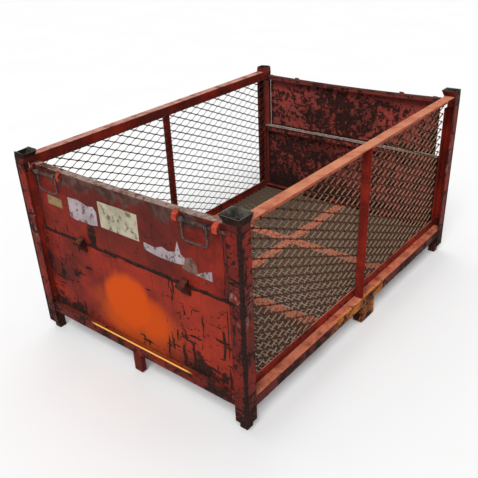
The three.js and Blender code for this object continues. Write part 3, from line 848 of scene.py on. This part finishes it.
def expanded_metal(name, u_range, v_range, to_world, strand, material):
    """Expanded metal: zigzag strands that touch their neighbours at every bond."""
    corners = strand_section(**strand)
    half_u, half_v = PITCH_LONG / 2, PITCH_SHORT / 2
    angle = math.radians(strand["tilt"])
    swing = (half_v - strand["width"] * math.cos(angle)) / 2
    rise = strand["width"] * math.sin(angle) / 2
    columns = int((u_range[1] - u_range[0]) / half_u)
    rows = int((v_range[1] - v_range[0]) / half_v)
    u_start = (u_range[0] + u_range[1] - columns * half_u) / 2
    v_start = (v_range[0] + v_range[1] - (rows - 1) * half_v) / 2
    shell = ([], [])
    for row in range(rows):
        rings = []
        for column in range(columns + 1):
            sign = 1 if (row + column) % 2 == 0 else -1
            for offset in (-0.5, 0.5):
                u = u_start + column * half_u + offset * BOND
                u = min(max(u, u_range[0]), u_range[1])
                v = v_start + row * half_v + sign * swing
                rings.append([to_world(u, v + c.x, c.y - sign * rise) for c in corners])
        append(shell, *loft(rings))
    return mesh_object(name, *shell, material, "frame", "mesh_paint", smooth=False)


def add_side_mesh(side, material):
    """Expanded metal of one long side."""
    def upright(u, v, out):
        return SIDES[side] * (SIDE_MESH["plane"] + out), u, v
    piece = expanded_metal(f"{side}_expanded_metal", SIDE_MESH["along"], SIDE_MESH["up"], upright,
                           SIDE_STRAND, material)
    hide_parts(f"{side}_mesh_panel")


def add_floor_mesh(material):
    """Expanded metal of the floor, pressed a little flat."""
    def lying(u, v, out):
        return u, v, FLOOR_MESH["plane"] + out * FLOOR_MESH["flat"]
    piece = expanded_metal("floor_expanded_metal", FLOOR_MESH["across"], FLOOR_MESH["along"], lying,
                           FLOOR_STRAND, material)
    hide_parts("floor_mesh")


# ------------------------------------------------------------------ stacking cups

def cup_ring(corner, inset, z):
    """Rounded square ring round a cup at some height. Inset is the depth into its wall."""
    wide_x, wide_y, radius, knock = CUP_MOUTHS[corner]
    end, side = corner.split("_")
    opened = max(0.0, (z - CUP["neck"]) / (CUP["top"] - CUP["neck"]))
    far_x = CUP["floor"] + (wide_x - CUP["floor"]) * opened - inset
    far_y = CUP["floor"] + (wide_y - CUP["floor"]) * opened - inset
    radius = CUP["bend"] + (radius - CUP["bend"]) * opened
    bend = max(0.8, radius - inset)
    centres = ((far_x - bend, far_y - bend, 0), (inset + bend, far_y - bend, 90),
               (inset + bend, inset + bend, 180), (far_x - bend, inset + bend, 270))
    ring = []
    for a0, b0, start in centres:
        for a, b in arc((a0, b0), bend, start, start + 90, 4):
            push = abs(noise.noise(Vector((a * 0.05, b * 0.05, wide_x)))) * knock * opened
            x = SIDES[side] * (HALF_W - a - push)
            y = ENDS[end] * (HALF_L - b - push * 0.6)
            ring.append((x, y, z - push))
    return ring


def stacking_cup(corner, outside, inside):
    """Cup with a straight neck and a flared mouth, painted outside and bare inside."""
    middle = (CUP["neck"] + CUP["top"]) / 2
    rise = (CUP["bottom"], CUP["neck"] - 3, CUP["neck"], CUP["neck"] + 4, middle,
            CUP["top"] - CUP["round"])
    outer = [cup_ring(corner, 0.0, z) for z in rise]
    inner = [cup_ring(corner, CUP["wall"], z) for z in reversed(rise)]
    rim = [cup_ring(corner, inset, CUP["top"]) for inset in (CUP["round"], CUP["wall"] - CUP["round"])]
    vertices, faces = loft(outer + rim + inner + [outer[0]], closed_ends=False)
    piece = mesh_object(f"{corner}_cup_shell", vertices, faces, outside, "frame", "cup_steel")
    piece.data.materials.append(inside)
    painted = len(outer[0]) * len(outer)
    for face in piece.data.polygons:
        face.material_index = 0 if face.index < painted else 1
    return piece


def add_cups(materials):
    for corner in CUP_MOUTHS:
        piece = stacking_cup(corner, materials["cup_outside"], materials["cup"])
        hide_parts(f"{corner}_stacking_cup")


# ------------------------------------------------------------------ welds

def weld_bead(shell, start, end, radius, rng):
    """A rippled bead between two points."""
    start, end = Vector(start), Vector(end)
    along = (end - start).normalized()
    side = along.orthogonal().normalized()
    other = along.cross(side)
    steps = max(4, int((end - start).length / RIPPLE))
    rings = []
    for k in range(steps + 1):
        t = k / steps
        taper = min(1.0, 0.45 + 3 * min(t, 1 - t) * steps / 12)
        size = radius * taper * (0.82 + 0.3 * (k % 2) + rng.uniform(-0.12, 0.12))
        centre = start.lerp(end, t)
        ring = []
        for i in range(BEAD_SIDES):
            angle = 2 * math.pi * i / BEAD_SIDES
            ring.append(tuple(centre + (side * math.cos(angle) + other * math.sin(angle)) * size))
        rings.append(ring)
    append(shell, *loft(rings))


def mid_post_welds(shell, sx, rng):
    """Two beads where a mid post stands on the bottom angle."""
    z = LEDGE_TOP + 0.7
    for inset in (3.7, 8.3):
        y = -sx * inset
        weld_bead(shell, (sx * 476, y, z), (sx * 508, y, z), 2.0, rng)


def corner_welds(shell, sx, sy, rng):
    """Beads of a corner: its upright, its side rail, its end rail, and round under its cup."""
    z = LEDGE_TOP + 0.7
    weld_bead(shell, (sx * 476, sy * 744.4, z), (sx * 508, sy * 744.4, z), 2.4, rng)
    weld_bead(shell, (sx * 509.9, sy * 700.2, 84), (sx * 509.9, sy * 700.2, 114), 2.2, rng)
    weld_bead(shell, (sx * 472, sy * 745, 88), (sx * 472, sy * 745, 126), 2.0, rng)
    z = CUP["bottom"] - 0.1
    weld_bead(shell, (sx * 514.2, sy * 748, z), (sx * 514.2, sy * 700, z), 1.4, rng)
    weld_bead(shell, (sx * 513, sy * 749.2, z), (sx * 465, sy * 749.2, z), 1.4, rng)


def bracket_welds(shell, sy, rng):
    """A bead on either side of every hinge bracket's foot."""
    y = sy * (HALF_L - PANEL_INSET + 0.3)
    for centre in HINGE_X.values():
        for reach in (-19.2, 19.2):
            x = centre + reach
            weld_bead(shell, (x, y, 436), (x, y, 462), 1.6, rng)


def add_welds(material):
    """All weld beads of the frame, as one piece."""
    rng = random.Random(11)
    frame = ([], [])
    for sx in SIDES.values():
        mid_post_welds(frame, sx, rng)
        for sy in ENDS.values():
            corner_welds(frame, sx, sy, rng)
    for sy in ENDS.values():
        bracket_welds(frame, sy, rng)
    mesh_object("frame_welds", *frame, material, "frame", "bare_steel")


# ------------------------------------------------------------------ labels

# Paper and outline of the torn labels on the front gate, as (x, z) points in millimetres.
LABELS = {
    "label_small": ("beige", [(-392, 580), (-311, 578), (-310, 613), (-391, 616)]),
    "label_torn": ("white", [(-272, 560), (-240, 553), (-196, 556), (-160, 553), (-126, 560), (-124, 612),
                             (-138, 630), (-168, 624), (-214, 638), (-270, 634)]),
    "label_large": ("cream", [(-108, 562), (78, 561), (79, 659), (-4, 661), (-110, 660)]),
    "label_strip": ("white", [(96, 540), (150, 532), (214, 531), (274, 538), (277, 566), (262, 572),
                              (250, 616), (238, 574), (206, 566), (180, 574), (148, 561), (98, 566)]),
    "label_smudge": ("smudge", [(263, 524), (300, 517), (329, 520), (322, 556), (304, 575), (268, 560)]),
    "label_corner": ("white", [(316, 518), (385, 516), (384, 550), (352, 538)]),
}


def add_labels(materials):
    """Blank torn labels that follow the knocks in the sheet."""
    for name, (material, outline) in LABELS.items():
        bm = bmesh.new()
        corners = [bm.verts.new((x, 0, z)) for x, z in outline]
        bm.faces.new(corners)
        bmesh.ops.triangulate(bm, faces=bm.faces)
        bmesh.ops.subdivide_edges(bm, edges=bm.edges, cuts=5, use_grid_fill=True)
        for vertex in bm.verts:
            x, _, z = vertex.co
            inward, sag = sheet_shift(x, z, GATE)
            curl = 0.25 + 0.5 * max(0.0, noise.noise(Vector((x * 0.03, 2, z * 0.03))))
            vertex.co = (x, -(HALF_L - PANEL_INSET - inward) - curl, z - sag)
        bm.verts.index_update()
        vertices = [tuple(v.co) for v in bm.verts]
        faces = [tuple(v.index for v in f.verts) for f in bm.faces]
        bm.free()
        mesh_object(name, vertices, faces, materials[material], "front_gate", "red_paint", smooth=False)


# ------------------------------------------------------------------ CAD pieces

# The first fitting ending decides the material of a CAD node.
LOOKS = (
    ("top_rail", "right_rail"), ("upright", "upright"), ("mid_post", "upright"), ("_post", "post"),
    ("front_mid_foot", "end_foot"), ("back_mid_foot", "end_foot"), ("mid_foot", "side_base"),
    ("_foot", "foot"), ("bottom_angle", "ledge"), ("cross_member", "floor_frame"),
    ("centre_beam", "floor_frame"), ("hinge_bracket", "bracket"), ("guide", "latch"),
    ("bolt", "steel"), ("handle", "steel"), ("left_base_rail", "side_base"),
    ("right_base_rail", "side_base"), ("base_rail", "rail"), ("sheet", "rail"), ("panel", "rail"),
    ("cup", "cup_outside"), ("mesh", "rail"),
)


def look_of(node):
    """Name of the look of a CAD node."""
    if node == "left_top_rail":
        return "left_rail"
    return next(look for ending, look in LOOKS if node.endswith(ending))


def soften(piece, width):
    """Rounds the sharp edges of a piece a little."""
    bevel = piece.modifiers.new("soft_edges", "BEVEL")
    bevel.width = width * MM
    bevel.segments = 2
    bevel.limit_method = "ANGLE"
    bevel.angle_limit = math.radians(40)
    bevel.harden_normals = True


def dress(node, piece, materials):
    """Material and softened edges of a CAD piece."""
    piece.data.materials.clear()
    piece.data.materials.append(materials[look_of(node)])
    weld = piece.modifiers.new("weld", "WELD")
    weld.merge_threshold = 0.01 * MM
    soften(piece, 0.9)


# ------------------------------------------------------------------ stage

def add_light(name, place, power, spread):
    """Soft distant light that shines from a place towards the middle of the container."""
    data = bpy.data.lights.new(name, "SUN")
    data.angle = math.radians(spread)
    data.energy = power
    light = bpy.data.objects.new(name, data)
    light.location = place
    light.rotation_euler = (-Vector(place)).to_track_quat("-Z", "Y").to_euler()
    bpy.context.scene.collection.objects.link(light)


def add_ground():
    """Plain pale floor."""
    reach = FLOOR_REACH
    corners = [(-reach, -reach, 0), (reach, -reach, 0), (reach, reach, 0), (-reach, reach, 0)]
    data = bpy.data.meshes.new("ground")
    data.from_pydata(corners, [], [(0, 1, 2, 3)])
    g = Graph("ground_surface")
    shade = g.noise(1.5, 3, seed=30)
    g.finish(g.mix(shade, (0.80, 0.80, 0.80, 1), (0.84, 0.84, 0.84, 1)), 0.9)
    data.materials.append(g.material)
    ground = bpy.data.objects.new("ground", data)
    bpy.context.scene.collection.objects.link(ground)


def add_sky():
    """White surroundings that light the scene less than they show behind it."""
    world = bpy.data.worlds.new("studio")
    world.use_nodes = True
    nodes, links = world.node_tree.nodes, world.node_tree.links
    background = nodes["Background"]
    background.inputs["Color"].default_value = (1, 1, 1, 1)
    seen = nodes.new("ShaderNodeLightPath").outputs["Is Camera Ray"]
    strength = nodes.new("ShaderNodeMapRange")
    strength.inputs["To Min"].default_value = SKY_LIGHT
    strength.inputs["To Max"].default_value = SKY_SEEN
    links.new(seen, strength.inputs["Value"])
    links.new(strength.outputs["Result"], background.inputs["Strength"])
    bpy.context.scene.world = world


def add_stage():
    """Floor, surroundings and lights."""
    add_ground()
    add_sky()
    for name, (place, power, spread) in LIGHTS.items():
        add_light(name, place, power, spread)
    bpy.context.scene.view_settings.view_transform = "Standard"


def add_camera():
    """Camera at the photograph's viewing angle."""
    place = Vector(CAMERA["place"])
    ahead = (Vector(CAMERA["target"]) - place).normalized()
    level = ahead.cross(Vector((0, 0, 1))).normalized()
    upright = level.cross(ahead)
    roll = math.radians(CAMERA["roll"])
    right = level * math.cos(roll) + upright * math.sin(roll)
    up = upright * math.cos(roll) - level * math.sin(roll)
    data = bpy.data.cameras.new("camera")
    data.sensor_width = CAMERA["sensor"]
    data.lens = CAMERA["lens"]
    data.shift_x, data.shift_y = CAMERA["shift"]
    camera = bpy.data.objects.new("camera", data)
    camera.matrix_world = Matrix((
        (right.x, up.x, -ahead.x, place.x),
        (right.y, up.y, -ahead.y, place.y),
        (right.z, up.z, -ahead.z, place.z),
        (0, 0, 0, 1),
    ))
    bpy.context.scene.collection.objects.link(camera)
    bpy.context.scene.camera = camera


# ------------------------------------------------------------------ build

def main():
    """Dresses the CAD pieces, adds the finer ones, the stage and the camera."""
    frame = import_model()
    materials = make_materials()
    for node, piece in frame["nodes"].items():
        dress(node, piece, materials)
    for side in SIDES:
        add_side_mesh(side, materials[f"{side}_strand"])
    add_floor_mesh(materials["floor_strand"])
    for end in ENDS:
        add_end_sheets(end, materials)
    add_cups(materials)
    add_welds(materials["weld"])
    add_labels(materials)
    add_stage()
    add_camera()
    bpy.context.view_layer.update()


main()
